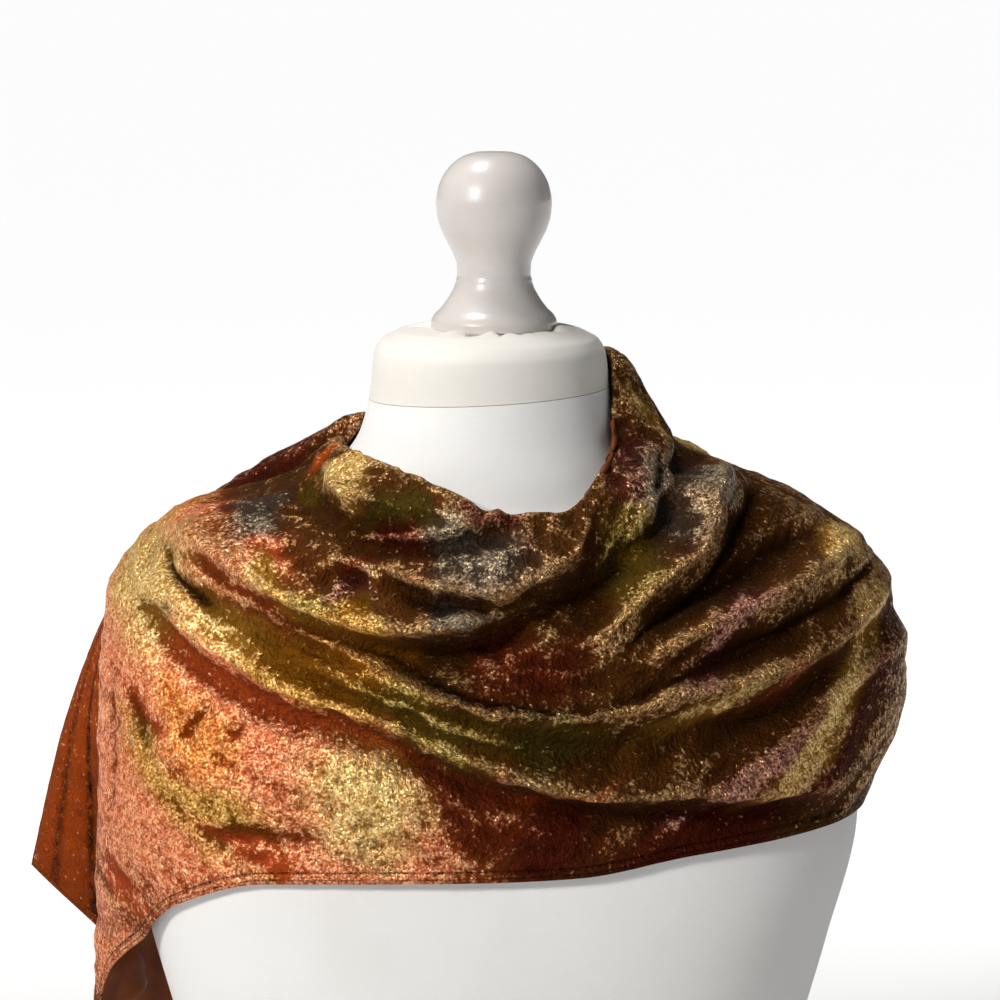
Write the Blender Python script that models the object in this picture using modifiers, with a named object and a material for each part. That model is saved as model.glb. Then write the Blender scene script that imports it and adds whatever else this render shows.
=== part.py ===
"""A velvet scarf wound once round the shoulders of a limbless dress form, as a Blender model.

The form stands on its flat underside at z = 0, with its neck on the Z axis. -Y is the front and +X is the
photograph's right. The scarf is one long strip of cloth. It starts behind the -X shoulder, passes round the
back, comes over the +X shoulder to the front, and ends on top of its own start at the -X shoulder, where its
short end hangs. A place on it is given by its winding angle, which is 0 at the front centre, 90 at the -X
shoulder, -90 at the +X shoulder and -180 at the back, and by its share of the way from the neckline, 0, to
the hem, 1. Lengths in the tables are in millimetres and angles in degrees.
"""

import math

import bmesh
import bpy
import numpy as np

MM = 0.001

# Dress form

CAP_SEAM_Z = 579.0
CAP_SEAM_TILT = 3.2 / 59.5
# The body's rings begin to tilt with the cap's seam at this height.
TILT_FROM_Z = 548.0
TILT_PASSES = 3
CAP_TOP_Z = 609.5
SEAM_GAP = 0.3
SHARP = math.radians(50)
FORM_AROUND = 32
FORM_RINGS = 24
CAP_RINGS = 6
# The share of the body's rings that is used up on the way to a height.
FORM_SPACING = [(0, 0), (0.4, 420), (0.62, 510), (1, CAP_SEAM_Z - SEAM_GAP)]

# Each row is one level section of the form: half its width, its depth to the front and to the back, and how
# square its corners are, where 2 is an ellipse.
FORM_SECTIONS = [
    # height, half_width, front, back, squareness
    (0, 165, 108, 116, 2.3),
    (70, 150, 100, 106, 2.2),
    (150, 131, 92, 92, 2.1),
    (210, 146, 100, 94, 2.2),
    (271, 162, 109, 99, 2.3),
    (306, 171, 114, 103, 2.4),
    (367, 185, 115, 108, 2.5),
    (440, 187, 103, 110, 2.3),
    (470, 184, 96, 107, 2.1),
    (490, 177, 89, 103, 1.9),
    (505, 163, 83, 98, 1.75),
    (514, 146, 79, 93, 1.7),
    (522, 122, 75, 87, 1.7),
    (530, 97, 70, 80, 1.8),
    (538, 83, 67, 74, 1.9),
    (548, 72, 64, 69, 2.0),
    (560, 64.5, 61, 64, 2.0),
    (580, 59.5, 58, 59, 2.0),
    (598, 57.5, 57, 57, 2.0),
    (605, 54.0, 53.5, 53.5, 2.0),
    (CAP_TOP_Z, 46.0, 46, 46, 2.0),
]

# The turned wooden finial, from its rim on the neck cap up to its small flat top.
FINIAL_PROFILE = [
    # radius, height above the cap
    (30.4, 0.0),
    (31.2, 1.2),
    (31.2, 4.0),
    (30.0, 6.8),
    (26.4, 10.6),
    (22.6, 15.8),
    (19.6, 21.6),
    (18.2, 27.4),
    (18.4, 32.0),
    (20.0, 37.2),
    (23.2, 43.6),
    (26.4, 50.4),
    (28.2, 57.2),
    (28.6, 63.0),
    (27.5, 69.8),
    (24.6, 76.6),
    (20.1, 82.0),
    (14.4, 85.8),
    (9.0, 87.4),
]
FINIAL_AROUND = 22
FINIAL_X = 2.0
POLE_MERGE = 0.01

# Scarf

WALL = 1.2
# The rolled neckline's edge lies inside and below the neckline by these.
TUCK_IN = 4.5
TUCK_DOWN = 7.0
# The share from which a section's hem turns away from its neckline.
TURN_FROM = 0.3
# The outer surface stays at least this far from the form.
CLEAR = 2.0
CLEAR_PASSES = 4
SECTION_STEPS = 241

# The winding angles at which the two stretches that show begin and end. They meet behind the +X shoulder.
FRONT_END = 99.0
STRETCH_SEAM = -120.0
BACK_END = -270.0
SEAM_TURN = 0.3
# The share of a stretch's columns that is used up on the way to an angle.
FRONT_SPACING = [(0, FRONT_END), (0.15, 84), (0.22, 75), (0.86, -80), (1, STRETCH_SEAM)]
BACK_SPACING = [(0, STRETCH_SEAM - SEAM_TURN), (0.66, -244), (1, BACK_END)]
FRONT_COLUMNS = 66
BACK_COLUMNS = 22
CLOTH_ROWS = 36
# How much closer the rows stand at the neckline than at the hem, and how far a point is eased to its neighbours.
ROW_CROWDING = 0.4
EASING = 0.5

# Each row is one upright section of the draped cloth before its folds are added. The neckline, upper and
# shoulder points are distances from the form's axis, and the side, lower and hem points stand off the form.
# The hem of a section may stand at another winding angle than its neckline, by hem_turn.
CLOTH_SECTIONS = [
    # angle, neck_r, neck_z, upper_r, upper_z, shoulder_r, shoulder_z,
    #     side_off, side_z, lower_off, lower_z, hem_off, hem_z, hem_turn
    (-270, 84, 541.5, 104, 531.5, 154, 514, 4, 474, 5, 400, 68, 216, 20),
    (-260, 82, 542, 104, 532, 154, 514, 5, 474, 8, 400, 60, 222, 13),
    (-252, 66, 566, 112, 541, 152, 517, 6, 474, 10, 400, 54, 226, 11),
    (-240, 68, 564, 96, 553, 136, 529, 9, 470, 12, 400, 40, 246, 4),
    (-210, 69, 573, 84, 559, 114, 526, 11, 462, 11, 405, 22, 300, 0),
    (-180, 68, 583, 80, 562, 104, 522, 12, 462, 10, 410, 11, 334, 0),
    (-150, 67, 593, 84, 563, 114, 522, 12, 462, 11, 410, 9, 348, 0),
    (-120, 64, 598, 94, 556, 150, 522, 18, 472, 18, 425, 8, 362, 0),
    (-100, 61.5, 599, 100, 548, 176, 513, 23, 478, 22, 430, 5, 373, 0),
    (-90, 61.5, 593, 99, 548, 176, 512, 21, 476, 22, 430, 3.5, 375, 0),
    (-80, 62, 584, 95, 548, 158, 512, 16, 472, 18, 425, 3.5, 377, 0),
    (-65, 66, 567, 92, 545, 132, 507, 12, 465, 13, 415, 4, 375.5, 0),
    (-42, 78, 552, 94, 535, 114, 500, 14, 462, 13, 412, 5, 371, 0),
    (-20, 88, 530, 100, 512, 110, 485, 15, 450, 13, 406, 6, 362.5, 0),
    (0, 88, 532, 99, 512, 108, 484, 15, 450, 12, 405, 6, 360.5, 0),
    (10, 87, 539.5, 97, 518, 108, 487, 14, 451, 11, 405, 6, 360, 0),
    (20, 84.5, 545, 96, 524, 108, 490, 13, 452, 10, 404, 6, 359.5, 0),
    (45, 79.5, 554, 95, 535, 118, 502, 9, 458, 8, 402, 6, 356, 0),
    (62, 77, 555, 96, 536, 136, 511, 9, 462, 9, 396, 6, 338, 0),
    (72, 76.5, 555, 98, 537, 150, 515, 10, 468, 10, 388, 8, 316, 0),
    (82, 76, 555, 100, 537, 160, 517, 10, 472, 12, 378, 29, 286, 1),
    (88, 76, 555, 101, 537, 161, 518, 10, 474, 12, 380, 47, 250, 1),
    (93, 76, 555, 101, 537, 161, 518, 8.5, 474, 10, 385, 22, 264, 6),
    (96, 76, 555, 101, 537, 160, 518, 9, 474, 22, 395, 42, 281, 8),
    (99, 76, 555, 101, 537, 158, 518, 15, 472, 42, 405, 86, 314, 9),
]

# Each row is one fold: how high its ridge stands, how far it spreads to the neckline's side and to the hem's
# side, how far the ridge leans over towards the hem as a share of its height, and its route along the cloth.
FOLDS = [
    # name, height, above, below, lean, ((angle, share), ...)
    ("neck roll", 10, 12, 10, 0.2, ((78, 0.08), (60, 0.12), (45, 0.15), (30, 0.14), (15, 0.11), (0, 0.08))),
    ("lens", 10, 12, 9, 0.3, ((30, 0.26), (18, 0.23), (6, 0.20), (-6, 0.19), (-16, 0.17))),
    ("cowl", 20, 19, 11, 0.2, ((80, 0.30), (64, 0.36), (52, 0.40), (36, 0.43), (20, 0.42), (10, 0.385),
                              (0, 0.35), (-12, 0.31))),
    ("cowl edge", 13, 10, 18, -0.1, ((5, 0.37), (-8, 0.31), (-17, 0.23), (-24, 0.16), (-33, 0.10), (-48, 0.07))),
    ("neck fold", 16, 17, 11, 0.3, ((-112, 0.27), (-92, 0.28), (-76, 0.285), (-66, 0.29), (-60, 0.33),
                                   (-52, 0.36), (-40, 0.375), (-30, 0.39), (-18, 0.425))),
    ("shoulder fold", 14, 15, 10, 0.3, ((-112, 0.50), (-90, 0.53), (-72, 0.53), (-60, 0.525), (-50, 0.515),
                                       (-40, 0.52), (-26, 0.51))),
    ("long fold", 13, 9, 12, 0.3, ((80, 0.35), (60, 0.41), (43, 0.465), (29, 0.50), (16, 0.53), (0, 0.555),
                                   (-16, 0.57), (-27, 0.59), (-39, 0.625), (-50, 0.65), (-62, 0.66),
                                   (-78, 0.64), (-112, 0.61))),
    ("thin fold", 4, 5, 7, 0.3, ((42, 0.50), (28, 0.545), (10, 0.60), (0, 0.63), (-14, 0.665))),
    ("front fold", 12, 14, 10, 0.3, ((80, 0.40), (70, 0.45), (64, 0.495), (54, 0.55), (43, 0.60), (29, 0.625),
                                   (15, 0.665), (0, 0.715), (-16, 0.77), (-36, 0.835), (-52, 0.885),
                                   (-72, 0.92))),
    ("side fold", 9, 15, 15, 0.1, ((-108, 0.72), (-80, 0.72), (-68, 0.745), (-56, 0.80), (-45, 0.85))),
    ("arm fold", 11, 12, 12, 0.0, ((-107, 0.50), (-105, 0.66), (-102, 0.82))),
    ("upper back fold", 9, 20, 13, 0.2, ((-122, 0.37), (-145, 0.31), (-170, 0.32), (-200, 0.36), (-238, 0.34))),
    ("middle back fold", 9, 18, 12, 0.2, ((-124, 0.62), (-145, 0.56), (-175, 0.53), (-210, 0.55), (-244, 0.50))),
    ("lower back fold", 7, 16, 12, 0.2, ((-126, 0.84), (-155, 0.76), (-190, 0.73), (-222, 0.75))),
    ("end fold", 8, 11, 11, 0.0, ((-246, 0.52), (-243, 0.74), (-240, 1.0))),
    ("inner end fold", 6, 10, 10, 0.0, ((-226, 0.66), (-224, 0.82), (-223, 1.0))),
]
# A fold fades in and out over this length at its ends, measured with a mean radius and a mean cloth width.
FOLD_FADE = 32.0
ROUTE_RADIUS = 140.0
ROUTE_LENGTH = 260.0
ROUTE_STEPS = 60
# Under each ridge runs a trough: its depth as a share of the ridge, and how many spreads below it lies.
TROUGH = 0.4
TROUGH_OUT = 2.0


def smooth_through(stations, values, at):
    """Values on a smooth curve through the stations that never swings past its neighbours."""
    x = np.asarray(stations, float)
    y = np.asarray(values, float)
    step = np.diff(x)
    slope = np.diff(y) / step
    tangent = np.zeros_like(y)
    tangent[0] = slope[0]
    tangent[-1] = slope[-1]
    before = slope[:-1]
    after = slope[1:]
    same_way = before * after > 0
    weight_a = 2 * step[1:] + step[:-1]
    weight_b = step[1:] + 2 * step[:-1]
    safe_before = np.where(same_way, before, 1.0)
    safe_after = np.where(same_way, after, 1.0)
    mean = (weight_a + weight_b) / (weight_a / safe_before + weight_b / safe_after)
    tangent[1:-1] = np.where(same_way, mean, 0.0)
    at = np.clip(np.asarray(at, float), x[0], x[-1])
    k = np.clip(np.searchsorted(x, at, side="right") - 1, 0, len(x) - 2)
    t = (at - x[k]) / step[k]
    rise = y[k + 1] - y[k]
    start = tangent[k] * step[k]
    end = tangent[k + 1] * step[k]
    return y[k] + t * (start + t * (3 * rise - 2 * start - end + t * (start + end - 2 * rise)))


def form_radius(angle, height):
    """How far the form's surface is from its axis, at a winding angle and a height."""
    table = np.array(FORM_SECTIONS, float)
    width, front, back, square = (
        smooth_through(table[:, 0], table[:, column], height) for column in range(1, 5)
    )
    turn = np.radians(angle)
    depth = np.where(np.cos(turn) > 0, front, back)
    across = np.abs(np.sin(turn)) / width
    along = np.abs(np.cos(turn)) / depth
    return (across**square + along**square) ** (-1 / square)


def place(angle, radius, height):
    """The point at a winding angle, a distance from the axis and a height, in metres."""
    turn = np.radians(angle)
    return np.stack([-radius * np.sin(turn), -radius * np.cos(turn), height + 0 * turn], -1) * MM


def cloth_meridian(angle):
    """The neckline-to-hem line of the unfolded cloth at one winding angle: angle, radius and height along it."""
    table = np.array(CLOTH_SECTIONS, float)
    row = [smooth_through(table[:, 0], table[:, column], angle) for column in range(1, 14)]
    neck_r, neck_z, upper_r, upper_z, shoulder_r, shoulder_z = row[:6]
    side_off, side_z, lower_off, lower_z, hem_off, hem_z, hem_turn = row[6:]
    radii = [neck_r - TUCK_IN, neck_r, upper_r, shoulder_r]
    heights = [neck_z - TUCK_DOWN, neck_z, upper_z, shoulder_z]
    for off, height in ((side_off, side_z), (lower_off, lower_z), (hem_off, hem_z)):
        radii.append(float(form_radius(angle, height)) + off)
        heights.append(height)
    chord = np.hypot(np.diff(radii), np.diff(heights))
    knots = np.concatenate([[0.0], np.cumsum(chord)])
    fine = np.linspace(0, knots[-1], SECTION_STEPS)
    r = smooth_through(knots, radii, fine)
    z = smooth_through(knots, heights, fine)
    r = np.maximum(r, form_radius(angle, z - CLEAR) + CLEAR)
    length = np.concatenate([[0.0], np.cumsum(np.hypot(np.diff(r), np.diff(z)))])
    share = length / length[-1]
    turn = angle + hem_turn * np.clip((share - TURN_FROM) / (1 - TURN_FROM), 0, 1)
    return share, turn, r, z, length[-1]


def cloth_base(angles, shares):
    """The unfolded cloth over a grid: angle, radius and height arrays, and each column's length."""
    turn = np.zeros((len(angles), len(shares)))
    radius = np.zeros_like(turn)
    height = np.zeros_like(turn)
    length = np.zeros(len(angles))
    for i, angle in enumerate(angles):
        share, t, r, z, length[i] = cloth_meridian(angle)
        turn[i] = np.interp(shares, share, t)
        radius[i] = np.interp(shares, share, r)
        height[i] = np.interp(shares, share, z)
    return turn, radius, height, length


def spaced(count, spacing):
    """A number of angles or heights, spaced as a table says."""
    table = np.array(spacing, float)
    return smooth_through(table[:, 0], table[:, 1], np.linspace(0, 1, count))


def row_shares(rows):
    """Shares of the way from neckline to hem, closer together at the rolled neckline."""
    step = np.linspace(0, 1, rows)
    return step * (1 - ROW_CROWDING + ROW_CROWDING * step)


def fold_route(route):
    """A fold's route as many angle and share pairs on a smooth curve through its points."""
    points = np.array(route, float)
    steps = np.hypot(np.radians(np.diff(points[:, 0])) * ROUTE_RADIUS, np.diff(points[:, 1]) * ROUTE_LENGTH)
    knots = np.concatenate([[0.0], np.cumsum(steps)])
    fine = np.linspace(0, knots[-1], ROUTE_STEPS)
    return smooth_through(knots, points[:, 0], fine), smooth_through(knots, points[:, 1], fine)


def fold_lift(angles, shares, radius, length, height, above, below, lean, route):
    """How far one fold raises each grid point, in millimetres."""
    route_angle, route_share = fold_route(route)
    across = np.radians(route_angle - angles[:, None, None]) * radius[:, :, None]
    down = (route_share - shares[None, :, None]) * length[:, None, None] - lean * height
    step_across = np.diff(across, axis=-1)
    step_down = np.diff(down, axis=-1)
    across = across[:, :, :-1]
    down = down[:, :, :-1]
    along = -(across * step_across + down * step_down) / (step_across**2 + step_down**2)
    along = np.clip(along, 0, 1)
    across = across + along * step_across
    down = down + along * step_down
    gap = np.hypot(across, down)
    toward_hem = step_across * down - step_down * across > 0
    nearest = gap.argmin(-1)[:, :, None]
    gap, along, toward_hem = (
        np.take_along_axis(values, nearest, -1)[:, :, 0] for values in (gap, along, toward_hem)
    )
    width = np.where(toward_hem, below, above)
    route_steps = np.hypot(np.radians(np.diff(route_angle)) * ROUTE_RADIUS, np.diff(route_share) * ROUTE_LENGTH)
    travelled = np.concatenate([[0.0], np.cumsum(route_steps)])
    position = travelled[nearest[:, :, 0]] + along * route_steps[nearest[:, :, 0]]
    reach = np.clip(np.minimum(position, travelled[-1] - position) / FOLD_FADE, 0, 1)
    fade = reach * reach * (3 - 2 * reach)
    ridge = np.exp(-((gap / width) ** 2))
    trough = TROUGH * toward_hem * np.exp(-(((gap - TROUGH_OUT * below) / below) ** 2))
    return height * fade * (ridge - trough)


def clear_of_form(points):
    """The points, with any that come too near the form moved straight out of it along its own slope."""
    x, y, z = np.moveaxis(points / MM, -1, 0)
    angle = np.degrees(np.arctan2(-x, -y))
    radius = np.hypot(x, y)
    for _ in range(CLEAR_PASSES):
        slope = (form_radius(angle, z + 1) - form_radius(angle, z - 1)) / 2
        steepness = np.sqrt(1 + slope**2)
        short = np.maximum(form_radius(angle, z) + CLEAR * steepness - radius, 0)
        radius = radius + short / steepness**2
        z = z - short * slope / steepness**2
    return place(angle, radius, z)


def relaxed(points):
    """The points of a grid, each inner one eased towards its neighbours."""
    eased = points.copy()
    around = points[:-2, 1:-1] + points[2:, 1:-1] + points[1:-1, :-2] + points[1:-1, 2:]
    eased[1:-1, 1:-1] = (1 - EASING) * points[1:-1, 1:-1] + EASING / 4 * around
    return eased


def cloth_surface(angles, shares):
    """Points of the draped cloth's outer surface with its folds, in metres."""
    turn, radius, height, length = cloth_base(angles, shares)
    base = place(turn, radius, height)
    along = np.gradient(base, axis=0)
    down = np.gradient(base, axis=1)
    normal = np.cross(down, along)
    normal /= np.linalg.norm(normal, axis=-1, keepdims=True)
    normal *= np.sign(angles[-1] - angles[0])
    down /= np.linalg.norm(down, axis=-1, keepdims=True)
    points = base.copy()
    for _, height_mm, above, below, lean, route in FOLDS:
        lift = fold_lift(angles, shares, radius, length, height_mm, above, below, lean, route)
        points += (normal + down * lean) * lift[:, :, None] * MM
    return points


def clear_scene():
    """Remove the objects the scene starts with."""
    for item in list(bpy.data.objects):
        bpy.data.objects.remove(item, do_unlink=True)


def new_material(name, colour, roughness, metallic=0.0, sheen=0.0):
    """A Principled material in one plain colour."""
    material = bpy.data.materials.new(name)
    material.use_nodes = True
    shader = material.node_tree.nodes["Principled BSDF"]
    shader.inputs["Base Color"].default_value = (*colour, 1.0)
    shader.inputs["Roughness"].default_value = roughness
    shader.inputs["Metallic"].default_value = metallic
    shader.inputs["Sheen Weight"].default_value = sheen
    return material


def new_object(name, mesh, material, collection):
    """An object from a mesh, shaded smooth, in the part's collection."""
    mesh.materials.append(material)
    mesh.shade_smooth()
    mesh.set_sharp_from_angle(angle=SHARP)
    item = bpy.data.objects.new(name, mesh)
    collection.objects.link(item)
    return item


def loft_rings(name, rings):
    """A closed mesh through rings of points that all have the same number of points, with flat ends."""
    build = bmesh.new()
    loops = [[build.verts.new(point) for point in ring] for ring in rings]
    count = len(loops[0])
    for lower, upper in zip(loops, loops[1:]):
        for i in range(count):
            j = (i + 1) % count
            build.faces.new((lower[i], lower[j], upper[j], upper[i]))
    build.faces.new(list(reversed(loops[0])))
    build.faces.new(loops[-1])
    bmesh.ops.recalc_face_normals(build, faces=build.faces)
    mesh = bpy.data.meshes.new(name)
    build.to_mesh(mesh)
    build.free()
    return mesh


def form_ring(height, tilt=0.0):
    """One level ring of the form, or a ring that rises by tilt times x."""
    angles = -np.arange(FORM_AROUND) * 360.0 / FORM_AROUND
    level = np.full(FORM_AROUND, float(height))
    for _ in range(TILT_PASSES):
        level = height + tilt * -form_radius(angles, level) * np.sin(np.radians(angles))
    return place(angles, form_radius(angles, level), level)


def add_form_body(collection, material):
    """The padded torso and neck, from its flat underside to the seam under the neck cap."""
    heights = spaced(FORM_RINGS, FORM_SPACING)
    tilts = CAP_SEAM_TILT * np.clip((heights - TILT_FROM_Z) / (heights[-1] - TILT_FROM_Z), 0, 1)
    rings = [form_ring(height, tilt) for height, tilt in zip(heights, tilts)]
    return new_object("form_body", loft_rings("form_body", rings), material, collection)


def add_neck_cap(collection, material):
    """The separate cap of cloth over the top of the neck."""
    heights = np.linspace(CAP_SEAM_Z, CAP_TOP_Z, CAP_RINGS)
    tilts = CAP_SEAM_TILT * np.linspace(1, 0, CAP_RINGS)
    rings = [form_ring(height, tilt) for height, tilt in zip(heights, tilts)]
    return new_object("form_neck_cap", loft_rings("form_neck_cap", rings), material, collection)


def add_finial(collection, material):
    """The turned finial on the neck cap: a profile spun round the form's axis."""
    foot = CAP_TOP_Z + SEAM_GAP
    profile = [(0.0, FINIAL_PROFILE[-1][1])]
    profile += [(radius, height) for radius, height in reversed(FINIAL_PROFILE)]
    profile += [(0.0, 0.0)]
    build = bmesh.new()
    points = [build.verts.new((radius * MM, 0.0, (foot + height) * MM)) for radius, height in profile]
    for start, end in zip(points, points[1:]):
        build.edges.new((start, end))
    mesh = bpy.data.meshes.new("finial")
    build.to_mesh(mesh)
    build.free()
    item = new_object("finial", mesh, material, collection)
    item.location.x = FINIAL_X * MM
    screw = item.modifiers.new("turn", "SCREW")
    screw.steps = FINIAL_AROUND
    screw.render_steps = FINIAL_AROUND
    screw.use_merge_vertices = True
    screw.merge_threshold = POLE_MERGE * MM
    return item


def add_scarf_stretch(name, points, material, collection):
    """One stretch of the scarf: an open surface through its sections, given a wall of cloth."""
    build = bmesh.new()
    columns = [[build.verts.new(point) for point in column] for column in points]
    for left, right in zip(columns, columns[1:]):
        for k in range(points.shape[1] - 1):
            build.faces.new((left[k], right[k], right[k + 1], left[k + 1]))
    mesh = bpy.data.meshes.new(name)
    build.to_mesh(mesh)
    build.free()
    item = new_object(name, mesh, material, collection)
    wall = item.modifiers.new("wall", "SOLIDIFY")
    wall.thickness = WALL * MM
    wall.offset = -1
    return item


def main():
    """Build the form and the scarf on it."""
    clear_scene()
    collection = bpy.data.collections.new("velvet scarf on a dress form")
    bpy.context.scene.collection.children.link(collection)
    jersey = new_material("white jersey", (0.80, 0.79, 0.77), 0.75)
    cap_cloth = new_material("cream jersey", (0.80, 0.77, 0.72), 0.75)
    painted_wood = new_material("painted wood", (0.78, 0.73, 0.69), 0.3)
    velvet = new_material("dyed velvet", (0.42, 0.17, 0.05), 0.5, 0.3, 0.4)
    back_velvet = new_material("dark dyed velvet", (0.16, 0.07, 0.03), 0.5, 0.3, 0.4)
    add_form_body(collection, jersey)
    add_neck_cap(collection, cap_cloth)
    add_finial(collection, painted_wood)
    front_angles = spaced(FRONT_COLUMNS, FRONT_SPACING)
    back_angles = spaced(BACK_COLUMNS, BACK_SPACING)
    points = cloth_surface(np.concatenate([front_angles, back_angles]), row_shares(CLOTH_ROWS))
    front_points = clear_of_form(relaxed(points[:FRONT_COLUMNS]))
    back_points = clear_of_form(relaxed(points[FRONT_COLUMNS:]))
    add_scarf_stretch("scarf_front_stretch", front_points, velvet, collection)
    add_scarf_stretch("scarf_back_stretch", back_points, back_velvet, collection)


main()
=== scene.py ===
# %% [markdown]
# # A crushed velvet scarf on a dress form
# The real object is one long strip of dyed velvet, wound once round the shoulders of a padded form. A cloth
# simulation would give some drape, but not this one, so the folds are placed one by one: a smooth base
# surface goes round the form, each fold is a soft ridge along its own route over that surface, and a finish
# made of shader nodes gives the crushed pile. The imported solids are loaded first, and give the places and
# sizes.

# %% Load the frame
import math

import bmesh
import bpy
import numpy as np
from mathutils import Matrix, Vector, noise


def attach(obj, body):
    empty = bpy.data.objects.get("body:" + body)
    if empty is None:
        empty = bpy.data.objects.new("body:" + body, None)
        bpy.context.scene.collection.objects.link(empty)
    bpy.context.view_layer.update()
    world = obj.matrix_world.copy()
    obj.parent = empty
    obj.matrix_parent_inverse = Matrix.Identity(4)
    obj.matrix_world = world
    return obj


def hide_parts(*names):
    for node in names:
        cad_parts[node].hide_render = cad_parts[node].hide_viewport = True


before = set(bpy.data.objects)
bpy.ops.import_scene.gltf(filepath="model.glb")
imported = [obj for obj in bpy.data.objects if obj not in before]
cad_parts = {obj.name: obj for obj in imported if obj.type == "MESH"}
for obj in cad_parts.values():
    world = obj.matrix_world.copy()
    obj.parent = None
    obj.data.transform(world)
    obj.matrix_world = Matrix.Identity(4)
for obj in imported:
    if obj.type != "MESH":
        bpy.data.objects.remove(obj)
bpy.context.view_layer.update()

# %% [markdown]
# # The camera and the light
# The camera stands where the photographer's did, a little above the scarf, and looks down by nine degrees.
# A long lens keeps the form's sides parallel. A bright lamp on the upper left gives the pile its glints and
# the right side its shade. A second lamp above brightens the shoulders, and a large dim one fills the shade.

# %% Camera
AIM = Vector((0.005, 0.0, 0.524))
CAMERA_DISTANCE = 1.6
CAMERA_ELEVATION = math.radians(9)
LENS = 115.2

camera_data = bpy.data.cameras.new("camera")
camera_data.lens = LENS
camera = bpy.data.objects.new("camera", camera_data)
bpy.context.scene.collection.objects.link(camera)
toward_camera = Vector((0, -math.cos(CAMERA_ELEVATION), math.sin(CAMERA_ELEVATION)))
camera.location = AIM + CAMERA_DISTANCE * toward_camera
camera.rotation_euler = (math.pi / 2 - CAMERA_ELEVATION, 0, 0)
bpy.context.scene.camera = camera
print("camera at", [round(side, 3) for side in camera.location])


# %% Lamps and surround
LAMPS = [
    # name, place, height of the point on the axis that it faces, size, watts, colour
    ("key lamp", (-1.3, -1.5, 1.5), 0.45, 0.35, 36, (1.0, 0.98, 0.95)),
    ("top lamp", (-0.5, 0.1, 2.2), 0.5, 0.5, 18, (1.0, 0.99, 0.97)),
    ("fill lamp", (1.8, -1.6, 0.9), 0.45, 1.8, 2, (0.93, 0.96, 1.0)),
]
WHITE = (1.0, 1.0, 1.0, 1.0)
SURROUND_LIGHT = 0.09


def add_lamp(name, place_at, aim_height, size, watts, colour):
    """A square area lamp that faces a point on the form's axis."""
    data = bpy.data.lights.new(name, "AREA")
    data.size = size
    data.energy = watts
    data.color = colour
    lamp = bpy.data.objects.new(name, data)
    bpy.context.scene.collection.objects.link(lamp)
    lamp.location = place_at
    facing = Vector((0, 0, aim_height)) - Vector(place_at)
    lamp.rotation_euler = facing.to_track_quat("-Z", "Y").to_euler()


for lamp_row in LAMPS:
    add_lamp(*lamp_row)

world = bpy.data.worlds.new("studio")
bpy.context.scene.world = world
world.use_nodes = True
background = world.node_tree.nodes["Background"]
background.inputs["Color"].default_value = WHITE
background.inputs["Strength"].default_value = SURROUND_LIGHT
bpy.context.scene.view_settings.view_transform = "Standard"
print("lamps", len(LAMPS))

# %% [markdown]
# # Sums of sockets
# A finish is easier to read as a sum than as a chain of nodes. This small class wraps a number's socket, so
# that a plus sign or a product in Python adds the Math node that does it.


# %% Socket sums
class Value:
    """A number that varies over a surface, held by a node's socket."""

    def __init__(self, finish, socket):
        self.finish = finish
        self.socket = socket

    def math(self, operation, first, second=0.0):
        return self.finish.node("ShaderNodeMath", {"operation": operation}, {0: first, 1: second})

    def __add__(self, other):
        return self.math("ADD", self, other)

    def __radd__(self, other):
        return self.math("ADD", self, other)

    def __sub__(self, other):
        return self.math("SUBTRACT", self, other)

    def __rsub__(self, other):
        return self.math("SUBTRACT", other, self)

    def __mul__(self, other):
        return self.math("MULTIPLY", self, other)

    def __rmul__(self, other):
        return self.math("MULTIPLY", other, self)

    def at_most(self, other):
        return self.math("MINIMUM", self, other)

    def size(self):
        return self.math("ABSOLUTE", self)

    def between(self, low, high):
        """0 below low, 1 above high, and a smooth step from one to the other."""
        return self.finish.node(
            "ShaderNodeMapRange",
            {"interpolation_type": "SMOOTHSTEP"},
            {"Value": self, "From Min": low, "From Max": high},
        )


class Finish:
    """A material under construction: its Principled shader and the nodes that feed it."""

    def __init__(self, name, **constants):
        self.material = bpy.data.materials.new(name)
        self.material.use_nodes = True
        self.tree = self.material.node_tree
        self.shader = self.tree.nodes["Principled BSDF"]
        for socket, value in constants.items():
            self.shader.inputs[socket.replace("_", " ")].default_value = value

    def node(self, kind, settings=None, sockets=None, output=0):
        """One node: its settings first, then the values or links of its sockets."""
        item = self.tree.nodes.new(kind)
        for key, value in (settings or {}).items():
            setattr(item, key, value)
        for key, value in (sockets or {}).items():
            if isinstance(value, Value):
                self.tree.links.new(value.socket, item.inputs[key])
            else:
                item.inputs[key].default_value = value
        return Value(self, item.outputs[output])

    def feed(self, socket, value):
        """Link a value to one of the shader's sockets."""
        self.tree.links.new(value.socket, self.shader.inputs[socket])

    def coordinates(self):
        """Places in the object's own metres."""
        return self.node("ShaderNodeTexCoord", output=3)

    def attribute(self, name, output=2):
        """A value stored on the mesh: output 2 for a number, 0 for a colour."""
        return self.node("ShaderNodeAttribute", {"attribute_name": name}, output=output)

    def noise(self, scale, detail=2.0, roughness=0.5, distortion=0.0):
        """Soft noise from 0 to 1 with features about one over scale metres wide."""
        sockets = {"Scale": scale, "Detail": detail, "Roughness": roughness, "Distortion": distortion}
        sockets["Vector"] = self.coordinates()
        return self.node("ShaderNodeTexNoise", sockets=sockets)

    def mix(self, first, second, share):
        """A colour between two colours."""
        return self.node("ShaderNodeMix", {"data_type": "RGBA"}, {0: share, 6: first, 7: second}, output=2)

    def bump(self, height, distance, strength=1.0, over=None):
        """A normal tilted by a height, on its own or over another bump."""
        sockets = {"Strength": strength, "Distance": distance, "Height": height}
        if over:
            sockets["Normal"] = over
        return self.node("ShaderNodeBump", sockets=sockets)


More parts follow.
